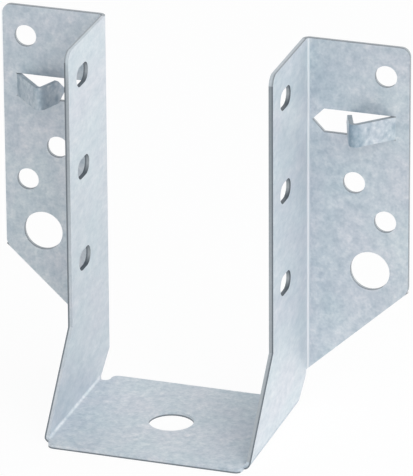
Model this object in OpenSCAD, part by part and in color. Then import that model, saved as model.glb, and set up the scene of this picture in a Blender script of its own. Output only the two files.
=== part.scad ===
// Joist hanger, one piece of folded galvanised sheet.
// X runs across the joist, -Y points out along the joist and +Z is up.
// The origin is the centre of the upper face of the seat the joist stands on.
// The back faces of both flanges lie in one plane on +Y, against the header beam.

/* [Sheet] */
// thickness of the sheet
sheet_t = 1; // [0.8:0.1:1.5]
// inside radius of every fold
bend_r = 0.6; // [0.5:0.1:1.2]

/* [Joist channel] */
// clear width between the two side walls
joist_w = 45; // [38:0.5:75]
// height of the side walls above the seat
wall_h = 83.5; // [80:0.5:140]
// how far the upper side walls reach forward of the header face
wall_d = 25.5; // [24:0.5:40]
// height at which the front edge of the wall starts to slope forward
kink_h = 19.5; // [16:0.5:24]
// rounding of the upper front corner of the wall
wall_corner_r = 2.5; // [0.5:0.5:6]

/* [Seat] */
// length of the seat along the joist
seat_d = 38.5; // [34:0.5:60]
// gap between the header face and the back edge of the seat
seat_gap = 6; // [5:0.5:8]
// how far the front lip of the seat reaches ahead of the folds
lip_front = 2.5; // [1:0.5:4]
// rounding of the corners of the seat lips
lip_r = 1.5; // [0.5:0.1:1.8]
// diameter of the round hole in the middle of the seat
seat_hole_d = 10; // [6:0.5:14]

/* [Flanges] */
// how far each flange reaches outward from the inner face of its wall
flange_reach = 24; // [24:0.5:40]
// height at which the sloping lower edge of the flange meets its outer edge
flange_low_h = 26.5; // [24:0.5:30]
// rounding of the upper outer corner of the flange
flange_top_r = 2; // [0.5:0.5:4]
// rounding of the lower outer corner of the flange
flange_low_r = 3; // [0.5:0.5:5]

/* [Nail and screw holes] */
// diameter of the small nail holes in the flanges
nail_d = 5; // [3.5:0.1:5.5]
// diameter of the large screw hole in each flange
screw_d = 9; // [6:0.5:10]
// width of the nail slots in the side walls
slot_w = 4.6; // [3.5:0.1:5.5]
// length of the nail slots in the side walls
slot_len = 7.4; // [6:0.1:9]
// distance of the nail slots forward of the header face
slot_back = 16.7; // [15:0.1:18]
// height of the lowest nail slot above the seat
slot_low_h = 32.4; // [30:0.1:36]
// spacing of the nail slots up the wall
slot_pitch = 21.55; // [18:0.05:22]

/* [Positioning prongs] */
// height of the window the prong is cut from
window_h = 5.5; // [5.4:0.1:7]
// height of the middle of the window above the seat
window_z = 64.8; // [62:0.1:70]
// height of the prong itself
prong_h = 5.2; // [4:0.1:5.2]
// length of the straight part that runs forward from the flange
prong_leg = 8.9; // [8.9:0.1:9.2]
// length of the straight part that runs back toward the header, without its point
prong_back = 4.6; // [3:0.1:4.6]
// length of the pointed end
prong_point = 2.5; // [1:0.1:2.5]
// angle at which the prong leaves the flange
prong_out_a = 46; // [46:1:50]
// angle between the pointed part and the Y axis
prong_in_a = 21; // [21:1:30]

/* [Hidden] */
$fn = 96;
// overlap where two stretches of the sheet join
join = 0.2;
// overlap between the straight parts and the folds of the prong
prong_join = 0.02;
far = 400;
bend_o = bend_r + sheet_t;
half_w = joist_w / 2;
out_w = half_w + sheet_t;
half_f = half_w + flange_reach;
// the header face, which is the back of the flanges
head_y = seat_d / 2 + seat_gap;
// the lower edge of the flange runs at this slope to the fold
low_slope = 0.921;
fold_h = flange_low_h - (half_f - out_w) * low_slope;
// ends of the fold between wall and seat, measured forward from the header face
fold_front = seat_d + seat_gap - lip_front;
fold_back = seat_gap + 1.2;
relief_r = 1.25;
// nail holes of each flange: distance from the middle plane and height
nail_out_x = half_f - 5.3;
nail_in_x = half_f - 12.4;
nail_top_z = wall_h - 7;
nail_mid_z = 51;
nail_low_z = 42.6;
screw_x = half_f - 8.7;
screw_z = 30.6;
// the window and the prong start here, next to the outer edge of the flange
root_x = half_f - 3;
window_len = root_x - (out_w + bend_r + 0.5);
prong_r = 0.4;
prong_r_mid = prong_r + sheet_t / 2;
// angle through which the prong is folded back
prong_turn = 90 + prong_out_a - prong_in_a;

// the same thing on both sides of the middle plane
module both_sides() {
    children();
    mirror([1, 0, 0])
        children();
}

// a pie slice used to cut a ring to the angle of a fold
module wedge2d(from_a, turn) {
    mid_a = from_a + turn / 2;
    reach = 20;
    polygon([
        [0, 0],
        [reach * cos(from_a), reach * sin(from_a)],
        [reach * 1.8 * cos(mid_a), reach * 1.8 * sin(mid_a)],
        [reach * cos(from_a + turn), reach * sin(from_a + turn)]
    ]);
}

// part of a ring, as seen along the fold it stands for
module fold2d(r_in, from_a, turn) {
    intersection() {
        difference() {
            circle(r = r_in + sheet_t);
            circle(r = r_in);
        }
        wedge2d(from_a, turn);
    }
}

// the sliver to cut away to round a corner whose sides run in the two given directions
module corner_cut2d(r, a1, a2) {
    half = (a2 - a1) / 2;
    mid = (a1 + a2) / 2;
    side = r / tan(half);
    reach = r / sin(half);
    difference() {
        polygon([
            [0, 0],
            [side * cos(a1), side * sin(a1)],
            [reach * cos(mid), reach * sin(mid)],
            [side * cos(a2), side * sin(a2)]
        ]);
        translate([reach * cos(mid), reach * sin(mid)])
            circle(r = r);
    }
}

// the folded strip seen from the front: two walls and two folds, without the seat
module channel2d() {
    both_sides() {
        translate([half_w, bend_r])
            square([sheet_t, wall_h - bend_r]);
        translate([half_w - bend_r, bend_r])
            fold2d(bend_r, 270, 90);
        translate([half_w - bend_r - join, -sheet_t])
            square([join, sheet_t]);
    }
}

// outline of a side wall seen from the side, forward of the fold to the flange
module wall2d() {
    x_back = head_y - bend_o;
    x_low = head_y - fold_back;
    x_fore = head_y - fold_front;
    x_up = head_y - wall_d;
    difference() {
        polygon([
            [x_back, wall_h],
            [x_back, fold_h - 1],
            [x_low, 0],
            [x_low, -sheet_t - 1],
            [x_fore, -sheet_t - 1],
            [x_fore, 0],
            [x_up, kink_h],
            [x_up, wall_h]
        ]);
        translate([x_up, wall_h])
            corner_cut2d(wall_corner_r, -90, 0);
    }
}

// the seat seen from above, with its rounded lips at the front and the back
module seat2d() {
    flat_w = half_w - bend_r;
    lip_w = half_w - 0.4;
    back_w = half_w - 2 * relief_r;
    front_y = -seat_d / 2;
    back_y = seat_d / 2;
    difference() {
        union() {
            translate([-flat_w, front_y])
                square([2 * flat_w, head_y - fold_back - front_y]);
            translate([-lip_w, front_y])
                square([2 * lip_w, lip_front]);
            translate([-back_w, 0])
                square([2 * back_w, back_y]);
        }
        both_sides() {
            translate([lip_w, front_y])
                corner_cut2d(lip_r, 90, 180);
            translate([back_w, back_y])
                corner_cut2d(lip_r, 180, 270);
        }
        circle(d = seat_hole_d);
    }
}

// round relief at the back end of each fold between wall and seat
module relief2d() {
    both_sides()
        translate([half_w - relief_r, head_y - fold_back - 0.7]) {
            circle(r = relief_r);
            translate([-relief_r, 0])
                square([2 * relief_r, 10]);
        }
}

// one nail slot, long way along the joist
module slot2d() {
    for (s = [-1, 1])
        translate([s * (slot_len - slot_w) / 2, 0])
            circle(d = slot_w);
    square([slot_len - slot_w, slot_w], center = true);
}

// the walls and the seat
module channel() {
    intersection() {
        rotate([90, 0, 0])
            translate([0, 0, -far / 2])
                linear_extrude(height = far)
                    channel2d();
        difference() {
            rotate([90, 0, 90])
                translate([0, 0, -far / 2])
                    linear_extrude(height = far)
                        wall2d();
            for (i = [0 : 2])
                translate([-far / 2, head_y - slot_back, slot_low_h + i * slot_pitch])
                    rotate([90, 0, 90])
                        linear_extrude(height = far)
                            slot2d();
            translate([0, 0, -5])
                linear_extrude(height = 6.2)
                    relief2d();
        }
    }
    translate([0, 0, -sheet_t])
        linear_extrude(height = sheet_t)
            difference() {
                seat2d();
                relief2d();
            }
}

// fold and flange of one side seen from above, without the wall
module flange_plan2d() {
    translate([out_w + bend_r, head_y - bend_o])
        fold2d(bend_r, 90, 90);
    translate([out_w + bend_r, head_y - sheet_t])
        square([half_f - out_w - bend_r, sheet_t]);
}

// outline of one flange seen from the front
module flange2d() {
    slope_a = atan(low_slope);
    difference() {
        polygon([
            [half_w - 1, wall_h],
            [half_w - 1, fold_h - (sheet_t + 1) * low_slope],
            [half_f, flange_low_h],
            [half_f, wall_h]
        ]);
        translate([half_f, wall_h])
            corner_cut2d(flange_top_r, 180, 270);
        translate([half_f, flange_low_h])
            corner_cut2d(flange_low_r, 90, 180 + slope_a);
        for (p = [[nail_out_x, nail_top_z], [nail_in_x, nail_mid_z], [nail_out_x, nail_low_z]])
            translate(p)
                circle(d = nail_d);
        translate([screw_x, screw_z])
            circle(d = screw_d);
        translate([root_x, window_z])
            window2d();
    }
}

// the window left where the prong was cut out, pointed at its inner end
module window2d() {
    point = prong_point + 0.2;
    polygon([
        [0, -window_h / 2],
        [0, window_h / 2],
        [point - window_len, window_h / 2],
        [-window_len, 0],
        [point - window_len, -window_h / 2]
    ]);
}

// the prong seen from above, starting at its root
module prong_plan2d() {
    translate([0, -sheet_t])
        square([join, sheet_t]);
    translate([0, -sheet_t - prong_r])
        fold2d(prong_r, 90, prong_out_a);
    to_prong_leg() {
        translate([-prong_join, -sheet_t / 2])
            square([prong_leg + 2 * prong_join, sheet_t]);
        translate([prong_leg, -prong_r_mid])
            fold2d(prong_r, 90 - prong_turn, prong_turn);
    }
    to_prong_end()
        translate([-prong_join, -sheet_t / 2])
            square([prong_join + prong_back + prong_point, sheet_t]);
}

// from the root of the prong to the start of its first straight part
module to_prong_leg() {
    translate([-prong_r_mid * sin(prong_out_a), -sheet_t / 2 - prong_r_mid * (1 - cos(prong_out_a))])
        rotate(180 + prong_out_a)
            children();
}

// from the root of the prong to the start of its second straight part
module to_prong_end() {
    to_prong_leg()
        translate([prong_leg, -prong_r_mid])
            rotate(-prong_turn)
                translate([0, prong_r_mid])
                    children();
}

// what is cut from the end of the prong to leave its point
module prong_trim2d() {
    tall = prong_h / 2;
    for (s = [-1, 1])
        polygon([
            [prong_back, s * tall],
            [prong_back, s * (tall + 1)],
            [prong_back + prong_point + 1, s * (tall + 1)],
            [prong_back + prong_point + 1, 0],
            [prong_back + prong_point, 0]
        ]);
}

// the whole prong of one side, a strip lanced from the flange and folded twice
module prong() {
    difference() {
        translate([0, 0, -prong_h / 2])
            linear_extrude(height = prong_h)
                prong_plan2d();
        to_prong_end()
            translate([0, 5, 0])
                rotate([90, 0, 0])
                    linear_extrude(height = 10)
                        prong_trim2d();
    }
}

// flange of the +X side with its fold and its prong
module flange() {
    intersection() {
        linear_extrude(height = wall_h)
            flange_plan2d();
        translate([0, head_y + 5, 0])
            rotate([90, 0, 0])
                linear_extrude(height = 20)
                    flange2d();
    }
    translate([root_x, head_y, window_z])
        prong();
}

// the whole hanger, one folded sheet
module joist_hanger() {
    color([0.72, 0.76, 0.79])
        union() {
            channel();
            flange();
            mirror([1, 0, 0])
                flange();
        }
}

joist_hanger();
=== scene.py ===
import math
from types import SimpleNamespace

import bpy
from mathutils import Matrix, Vector


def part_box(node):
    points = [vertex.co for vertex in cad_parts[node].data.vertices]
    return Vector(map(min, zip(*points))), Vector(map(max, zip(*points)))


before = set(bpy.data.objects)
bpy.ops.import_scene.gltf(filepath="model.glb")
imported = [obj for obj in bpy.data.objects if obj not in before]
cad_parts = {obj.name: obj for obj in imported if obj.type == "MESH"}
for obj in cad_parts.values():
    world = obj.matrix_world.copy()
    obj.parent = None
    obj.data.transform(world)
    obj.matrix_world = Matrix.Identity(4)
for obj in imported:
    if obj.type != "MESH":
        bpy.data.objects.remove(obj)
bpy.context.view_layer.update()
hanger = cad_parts["joist_hanger"]
low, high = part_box("joist_hanger")
centre = (low + high) / 2
scene = bpy.context.scene

# ---------------------------------------------------------------- sizes of the hanger, in metres
# The joist stands on the seat at z = 0, so the lowest point gives the thickness of the sheet.
SHEET_T = -low.z
# inside radius of the folds of the sheet
BEND_R = 0.0006
# from the inner face of a wall to the outer edge of its flange
FLANGE_REACH = 0.024
WALL_IN = high.x - FLANGE_REACH
WALL_OUT = WALL_IN + SHEET_T
FLANGE_FRONT = high.y - SHEET_T
# the lines that the folds turn about, between seat and wall and between wall and flange
SEAT_FOLD_X = WALL_IN - BEND_R
SEAT_FOLD_Z = BEND_R
FLANGE_FOLD_X = WALL_OUT + BEND_R
FLANGE_FOLD_Y = FLANGE_FRONT - BEND_R
# the flange is flat outside this
FLAT_FLANGE_X = FLANGE_FOLD_X + 0.0005
# height of the lowest nail slots in the walls, and their spacing up the wall
SLOT_LOW_Z = 0.0324
SLOT_PITCH = 0.02155
# the nail slots lie behind this line and above this height
SLOT_ZONE_Y = 0.003
SLOT_ZONE_Z = 0.026
# the top edges of the walls and their rounded corners lie above this, and the nail slots below it
TOP_EDGE_Z = high.z - 0.003
# positioning prongs: middle height, half height with room to spare, and the zone of their roots
PRONG_Z = 0.0648
PRONG_HALF_H = 0.003
PRONG_ROOT_X = high.x - 0.0047
# keeps the border of a zone off the faces beside it
SLACK = 0.00005

# ---------------------------------------------------------------- colours
ZINC_GREEN = (0.589, 0.653, 0.696, 1)
ZINC_VIOLET = (0.616, 0.650, 0.701, 1)
STEEL_DARK = (0.33, 0.36, 0.385, 1)
STEEL_LIGHT = (0.43, 0.46, 0.485, 1)
EDGE_SHADE = (0.14, 0.175, 0.195, 1)
BURR = (0.17, 0.195, 0.22, 1)
SLOT_SHADE = (0.10, 0.12, 0.14, 1)
WHITE = (1, 1, 1, 1)
FLOOR_PAINT = (0.85, 0.85, 0.85, 1)
ROOM_LIGHT = (0.90, 0.955, 1.0, 1)
LAMP_WARM = (1.0, 0.97, 0.92)
LAMP_COOL = (0.96, 0.985, 1.0)


# ---------------------------------------------------------------- node helpers
class Graph:
    """Adds nodes to a tree and links them. A mask is 1 inside its zone and 0 outside it."""

    def __init__(self, tree):
        self.tree = tree
        tree.nodes.clear()

    def feed(self, socket, value):
        if isinstance(value, bpy.types.NodeSocket):
            self.tree.links.new(value, socket)
        else:
            socket.default_value = value

    def node(self, kind, inputs=None, **props):
        made = self.tree.nodes.new(kind)
        for key, value in props.items():
            setattr(made, key, value)
        for key, value in (inputs or {}).items():
            self.feed(made.inputs[key], value)
        return made

    def math(self, operation, a, b=None, clamp=False):
        inputs = {0: a} if b is None else {0: a, 1: b}
        return self.node("ShaderNodeMath", inputs, operation=operation, use_clamp=clamp).outputs[0]

    def add(self, a, b):
        return self.math("ADD", a, b)

    def minus(self, a, b):
        return self.math("SUBTRACT", a, b)

    def less(self, a, b):
        return self.math("LESS_THAN", a, b)

    def more(self, a, b):
        return self.math("GREATER_THAN", a, b)

    def both(self, *terms):
        """The product: where every mask holds."""
        out = terms[0]
        for term in terms[1:]:
            out = self.math("MULTIPLY", out, term)
        return out

    def either(self, *terms):
        """The largest: where any mask holds."""
        out = terms[0]
        for term in terms[1:]:
            out = self.math("MAXIMUM", out, term)
        return out

    def outside(self, mask):
        return self.minus(1.0, mask)

    def gap(self, a, b):
        """How far apart two numbers are."""
        return self.math("ABSOLUTE", self.minus(a, b))

    def over(self, a, b):
        """How far a lies above b, and 0 where it doesn't."""
        return self.either(self.minus(a, b), 0.0)

    def length(self, a, b):
        return self.math("SQRT", self.add(self.both(a, a), self.both(b, b)))

    def span(self, value, source, result):
        """Carries a value from one range over to another, and holds it at the ends."""
        inputs = {
            "Value": value,
            "From Min": source[0],
            "From Max": source[1],
            "To Min": result[0],
            "To Max": result[1],
        }
        return self.node("ShaderNodeMapRange", inputs, clamp=True).outputs[0]

    def ramp(self, value, start, end):
        """0 up to the start and 1 from the end on."""
        return self.span(value, (start, end), (0.0, 1.0))

    def where(self, mask, factor):
        """The factor inside the mask and 1 outside it."""
        return self.span(mask, (0.0, 1.0), (1.0, factor))

    def noise(self, vector, scale, detail=2.0, rough=0.5):
        inputs = {"Vector": vector, "Scale": scale, "Detail": detail, "Roughness": rough}
        return self.node("ShaderNodeTexNoise", inputs).outputs["Fac"]

    def mix(self, factor, a, b, blend="MIX"):
        made = self.node("ShaderNodeMix", data_type="RGBA", blend_type=blend)
        for index, value in ((0, factor), (6, a), (7, b)):
            self.feed(made.inputs[index], value)
        return made.outputs[2]


def new_material(name):
    mat = bpy.data.materials.new(name)
    mat.use_nodes = True
    return mat, Graph(mat.node_tree)


# ---------------------------------------------------------------- galvanised sheet
def zones(g):
    """Where a point of the sheet lies, which way its face looks, and a mask for each part of the hanger.

    ax is the distance from the middle plane. nx, ny and nz are 1 on a face that looks along that axis
    and 0 on one that runs along it. front is the half ahead of the seat's middle, where the front edges
    of the walls lie.
    """
    place = g.node("ShaderNodeTexCoord").outputs["Object"]
    facing = g.node("ShaderNodeNewGeometry").outputs["True Normal"]
    x, y, z = g.node("ShaderNodeSeparateXYZ", {0: place}).outputs
    turns = g.node("ShaderNodeSeparateXYZ", {0: facing}).outputs
    nx, ny, nz = (g.math("ABSOLUTE", turn) for turn in turns)
    ax = g.math("ABSOLUTE", x)

    flange_start = FLANGE_FOLD_Y - SLACK
    above_fold = g.more(z, SEAT_FOLD_Z)
    between_faces = g.both(g.more(ax, WALL_IN - 2 * SLACK), g.less(ax, WALL_OUT + 2 * SLACK))
    root = g.both(g.more(ax, PRONG_ROOT_X), g.less(g.gap(z, PRONG_Z), PRONG_HALF_H))
    ahead_of_flange = g.both(g.more(ax, FLAT_FLANGE_X), g.less(y, FLANGE_FRONT - SLACK))
    return SimpleNamespace(
        x=x, y=y, z=z, ax=ax, nx=nx, ny=ny, nz=nz,
        above_fold=above_fold,
        seat=g.less(z, SEAT_FOLD_Z),
        wall=g.both(between_faces, above_fold, g.less(y, flange_start)),
        flange=g.both(g.more(y, flange_start), above_fold),
        prong=g.either(ahead_of_flange, g.both(root, g.more(nz, 0.9))),
        top_edge=g.both(g.more(nz, 0.2), g.more(z, TOP_EDGE_Z)),
        left=g.less(x, 0.0),
        right=g.more(x, 0.0),
        front=g.less(y, 0.0),
    )


def mottle(g, at):
    """The grey patterns of the zinc, drawn out along the depth of the walls. Scales are per metre."""
    depth = g.both(at.y, g.where(at.wall, 0.5))
    place = g.node("ShaderNodeCombineXYZ", {0: at.x, 1: depth, 2: at.z}).outputs[0]
    warp = g.node("ShaderNodeTexNoise", {"Vector": place, "Scale": 420.0, "Detail": 2.0})
    shift = {0: warp.outputs["Color"], 1: (0.0025, 0.0025, 0.0025)}
    shift = g.node("ShaderNodeVectorMath", shift, operation="MULTIPLY").outputs[0]
    warped = g.node("ShaderNodeVectorMath", {0: place, 1: shift}, operation="ADD").outputs[0]
    cells = g.node("ShaderNodeTexVoronoi", {"Vector": warped, "Scale": 700.0}, feature="SMOOTH_F1")
    return SimpleNamespace(
        place=place,
        clouds=g.noise(place, 70.0, detail=3.0),
        crystals=g.node("ShaderNodeSeparateColor", {0: cells.outputs["Color"]}).outputs[0],
        blots=g.noise(place, 640.0),
        grain=g.noise(place, 1600.0, rough=0.6),
        streaks=g.noise(place, 1600.0),
        hue=g.noise(place, 95.0),
    )


def mottled_tone(g, at, zinc):
    """How light the zinc is, around 1. The walls show the pattern less."""
    tone = g.both(
        g.span(zinc.clouds, (0.3, 0.7), (0.965, 1.035)),
        g.span(zinc.crystals, (0.0, 1.0), (0.93, 1.06)),
        g.span(zinc.blots, (0.25, 0.75), (0.89, 1.11)),
        g.span(zinc.grain, (0.25, 0.75), (0.92, 1.08)),
    )
    return g.math("POWER", tone, g.where(at.wall, 0.6))


def painted_shade(g, at, tone):
    """Painted shade toward the flanges' tops, the foot of the walls' inner faces and the seat's right
    side.
    """
    inner_side = g.less(at.ax, WALL_IN + 0.4 * SHEET_T)
    up_flange = g.both(at.flange, g.ramp(at.z, 0.02, 0.08))
    down_wall = g.both(at.wall, inner_side, g.ramp(at.z, 0.05, 0.005))
    across_seat = g.both(at.seat, g.ramp(at.x, 0.004, 0.021))
    # painted shade: each factor darkens the colour where less light falls
    return g.both(tone, g.where(up_flange, 0.94), g.where(down_wall, 0.93), g.where(across_seat, 0.88))


def scored_with_painted_folds(g, at, zinc, tone):
    """Scored prongs, painted shade in their folds, and a painted highlight in the flange folds."""
    along = {"Vector": zinc.place, "Rotation": (0.0, 0.6, 0.0), "Scale": (900.0, 900.0, 700.0)}
    scores = g.noise(g.node("ShaderNodeMapping", along).outputs[0], 1.0)
    # the rest of the sheet takes the lightest score
    tone = g.both(tone, g.span(g.both(at.prong, scores), (0.38, 0.72), (1.02, 0.76)))
    # the painted shade on the left prong's fold is weaker than on the right one's
    side = g.span(at.x, (0.0, 0.001), (0.4, 1.0))
    # painted shade across the prongs' folds
    fold_shade = g.both(at.prong, g.ramp(at.y, 0.0190, 0.0176), side)
    tone = g.both(tone, g.where(fold_shade, 0.72))

    # painted highlight along the middle of each flange fold, with painted shade in the rest of the fold
    line_x = WALL_OUT + 0.00025
    line = g.span(g.gap(at.ax, line_x), (0.0001, 0.0003), (1.15, 0.94))
    fold = g.both(
        g.more(at.y, FLANGE_FOLD_Y + 0.2 * SLACK),
        g.less(at.y, FLANGE_FRONT + 5 * SLACK),
        g.less(at.ax, FLANGE_FOLD_X),
    )
    return g.add(g.both(fold, line), g.both(tone, g.outside(fold)))


def zinc_colour(g, zinc, tone):
    """Zinc of two hues at the given tone. Darker zinc is also bluer."""
    colour = g.mix(g.ramp(zinc.hue, 0.35, 0.65), ZINC_GREEN, ZINC_VIOLET)
    tint = {0: g.math("POWER", tone, 1.3), 1: tone, 2: g.math("POWER", tone, 0.8)}
    return g.mix(1.0, colour, g.node("ShaderNodeCombineColor", tint).outputs[0], "MULTIPLY")


def depth_in_sheet(g, at):
    """0 on the side of the sheet that joist and header touch, and SHEET_T on its other side."""
    seat_ring = g.length(g.over(at.ax, SEAT_FOLD_X), g.over(SEAT_FOLD_Z, at.z))
    flange_ring = g.length(g.over(FLANGE_FOLD_X, at.ax), g.over(at.y, FLANGE_FOLD_Y))
    on_seat = g.both(at.seat, g.minus(seat_ring, BEND_R))
    elsewhere = g.both(g.outside(at.seat), g.minus(BEND_R + SHEET_T, flange_ring))
    return g.add(on_seat, elsewhere)


def bare_steel(g, at, zinc, zinc_paint):
    """Streaked steel, with zinc drawn over some edges and a shade toward the right front edge's top."""
    steel = g.mix(zinc.streaks, STEEL_DARK, STEEL_LIGHT)
    toward_foot = g.span(at.z, (0.062, 0.030), (0.0, 0.8))
    toward_top = g.span(at.z, (0.0755, 0.0815), (0.0, 0.85))
    left_front = g.both(at.left, g.either(toward_foot, toward_top))
    front_coat = g.both(at.front, g.either(0.1, left_front))
    top_coat = g.both(at.top_edge, g.span(at.x, (-0.01, 0.01), (0.85, 0.55)))
    prong_coat = g.both(at.prong, at.left, g.more(at.nz, 0.9), 0.6)
    coat = g.either(g.both(at.wall, g.either(front_coat, top_coat)), prong_coat)
    steel = g.mix(coat, steel, zinc_paint)

    upright = g.both(at.wall, at.front, g.less(at.nz, 0.2))
    shade = g.both(upright, at.right, g.span(at.z, (0.035, 0.07), (0.0, 0.4)))
    return g.mix(shade, steel, EDGE_SHADE)


def with_edges(g, at, zinc, zinc_paint):
    """The zinc's colour with the cut edges, their dark burr line and the shade inside the nail slots."""
    hole_side = g.both(
        g.less(at.z, -0.2 * SLACK),
        g.less(at.ax, SEAT_FOLD_X - 10 * SLACK),
        g.less(at.nz, 0.7),
    )
    seat_cut = g.both(at.seat, g.either(g.more(at.ny, 0.5), hole_side))
    flange_cut = g.both(
        g.more(at.y, FLANGE_FRONT - SLACK),
        g.more(at.ax, FLAT_FLANGE_X),
        g.less(at.ny, 0.5),
    )
    wall_cut = g.both(at.wall, g.less(at.nx, 0.5))
    cut = g.either(g.both(at.above_fold, g.more(at.nz, 0.35)), wall_cut, flange_cut)
    colour = g.mix(cut, zinc_paint, bare_steel(g, at, zinc, zinc_paint))

    burr = g.ramp(depth_in_sheet(g, at), 0.55 * SHEET_T, 0.78 * SHEET_T)
    burr = g.both(burr, g.outside(at.prong), g.either(cut, seat_cut))
    burr = g.both(burr, g.where(g.both(at.top_edge, at.wall), 0.6))
    colour = g.mix(burr, colour, BURR)

    slot_zone = g.both(
        g.more(at.y, SLOT_ZONE_Y),
        g.more(at.z, SLOT_ZONE_Z),
        g.less(at.z, TOP_EDGE_Z),
    )
    from_middle = g.math("PINGPONG", g.minus(at.z, SLOT_LOW_Z - SLOT_PITCH), SLOT_PITCH / 2)
    slot_shade = g.both(wall_cut, slot_zone, g.span(from_middle, (0.0006, 0.0021), (0.0, 0.9)))
    return g.mix(slot_shade, colour, SLOT_SHADE)


def galvanised(name):
    """Galvanised sheet with bare cut edges, half metal and softly rough."""
    mat, g = new_material(name)
    at = zones(g)
    zinc = mottle(g, at)
    # the tone carries the zinc's mottle, painted shade and a painted highlight in the flange folds
    tone = scored_with_painted_folds(g, at, zinc, painted_shade(g, at, mottled_tone(g, at, zinc)))
    colour = with_edges(g, at, zinc, zinc_colour(g, zinc, tone))
    rough = g.add(
        g.span(zinc.crystals, (0.0, 1.0), (0.40, 0.50)),
        g.span(zinc.clouds, (0.3, 0.7), (-0.03, 0.03)),
    )
    relief = g.add(g.both(zinc.grain, 0.5), g.add(zinc.crystals, zinc.blots))
    bump = g.node("ShaderNodeBump", {"Height": relief, "Strength": 0.15, "Distance": 0.0002})
    finish = {
        "Base Color": colour,
        "Metallic": 0.5,
        "Roughness": rough,
        "Specular IOR Level": 0.2,
        "Normal": bump.outputs[0],
    }
    shader = g.node("ShaderNodeBsdfPrincipled", finish)
    g.node("ShaderNodeOutputMaterial", {"Surface": shader.outputs[0]})
    return mat


hanger.material_slots[0].material = galvanised("galvanised_steel")


# ---------------------------------------------------------------- floor and world
def seen_directly(g):
    """1 for what the camera sees itself, in a reflection or through glass, and 0 for light."""
    path = g.node("ShaderNodeLightPath")
    seen = g.math("ADD", path.outputs["Is Camera Ray"], path.outputs["Is Glossy Ray"], clamp=True)
    return g.math("ADD", seen, path.outputs["Is Transmission Ray"], clamp=True)


def add_floor():
    """A white floor that still takes a faint shadow: a small share of what is seen is painted."""
    reach = 3.0
    white_share = 0.95
    below_hanger = 0.0001
    corners = [(-reach, -reach, 0), (reach, -reach, 0), (reach, reach, 0), (-reach, reach, 0)]
    mesh = bpy.data.meshes.new("floor")
    mesh.from_pydata(corners, [], [(0, 1, 2, 3)])
    floor = bpy.data.objects.new("floor", mesh)
    floor.location = (0, 0, low.z - below_hanger)
    scene.collection.objects.link(floor)
    mat, g = new_material("floor")
    paint = g.node("ShaderNodeBsdfDiffuse", {"Color": FLOOR_PAINT})
    white = g.node("ShaderNodeEmission", {"Color": WHITE, "Strength": 1.0})
    share = g.both(seen_directly(g), white_share)
    shader = g.node("ShaderNodeMixShader", {0: share, 1: paint.outputs[0], 2: white.outputs[0]})
    g.node("ShaderNodeOutputMaterial", {"Surface": shader.outputs[0]})
    mesh.materials.append(mat)


def add_world():
    """A white background, and a room that is darker on the left than on the right."""
    world = bpy.data.worlds.new("studio")
    scene.world = world
    world.use_nodes = True
    g = Graph(world.node_tree)
    direction = g.node("ShaderNodeTexCoord").outputs["Generated"]
    sideways = g.node("ShaderNodeSeparateXYZ", {0: direction}).outputs[0]
    level = g.span(sideways, (-0.7, 0.7), (0.17, 0.91))
    room = g.node("ShaderNodeBackground", {"Color": ROOM_LIGHT, "Strength": level})
    white = g.node("ShaderNodeBackground", {"Color": WHITE, "Strength": 1.0})
    inputs = {0: seen_directly(g), 1: room.outputs[0], 2: white.outputs[0]}
    g.node("ShaderNodeOutputWorld", {"Surface": g.node("ShaderNodeMixShader", inputs).outputs[0]})


add_floor()
add_world()


# ---------------------------------------------------------------- lamps
def softbox(name, offset, watts, colour):
    """A square lamp that faces the middle of the hanger from an offset in metres."""
    side = 1.0
    data = bpy.data.lights.new(name, "AREA")
    data.shape = "RECTANGLE"
    data.size = side
    data.size_y = side
    data.energy = watts
    data.color = colour
    lamp = bpy.data.objects.new(name, data)
    lamp.location = centre + Vector(offset)
    lamp.rotation_euler = (-Vector(offset)).to_track_quat("-Z", "Y").to_euler()
    scene.collection.objects.link(lamp)


softbox("key", (1.14, 0.66, 0.61), 5.2, LAMP_WARM)
softbox("front", (0.66, -1.14, 0.61), 4.2, LAMP_COOL)
softbox("side", (0.96, -0.35, 1.03), 7.7, LAMP_WARM)


# ---------------------------------------------------------------- camera
def add_camera(azimuth, elevation, roll, distance, lens, aim):
    """A camera that looks at the hanger's middle, moved by aim. Angles are in degrees, lens in mm."""
    azimuth, elevation, roll = (math.radians(angle) for angle in (azimuth, elevation, roll))
    back = Vector((
        math.sin(azimuth) * math.cos(elevation),
        -math.cos(azimuth) * math.cos(elevation),
        math.sin(elevation),
    ))
    level = Vector((math.cos(azimuth), math.sin(azimuth), 0))
    upward = back.cross(level)
    right = level * math.cos(roll) - upward * math.sin(roll)
    up = upward * math.cos(roll) + level * math.sin(roll)
    spot = centre + Vector(aim) + back * distance
    data = bpy.data.cameras.new("camera")
    data.sensor_fit = "HORIZONTAL"
    data.sensor_width = 36.0
    data.lens = lens
    data.clip_end = 20.0
    camera = bpy.data.objects.new("camera", data)
    camera.matrix_world = Matrix((
        (right.x, up.x, back.x, spot.x),
        (right.y, up.y, back.y, spot.y),
        (right.z, up.z, back.z, spot.z),
        (0, 0, 0, 1),
    ))
    scene.collection.objects.link(camera)
    scene.camera = camera


add_camera(
    azimuth=18.37,
    elevation=23.04,
    roll=0.355,
    distance=1.2613,
    lens=508.6,
    aim=(0.00653, 0.00253, 0.00081),
)
scene.view_settings.view_transform = "Standard"
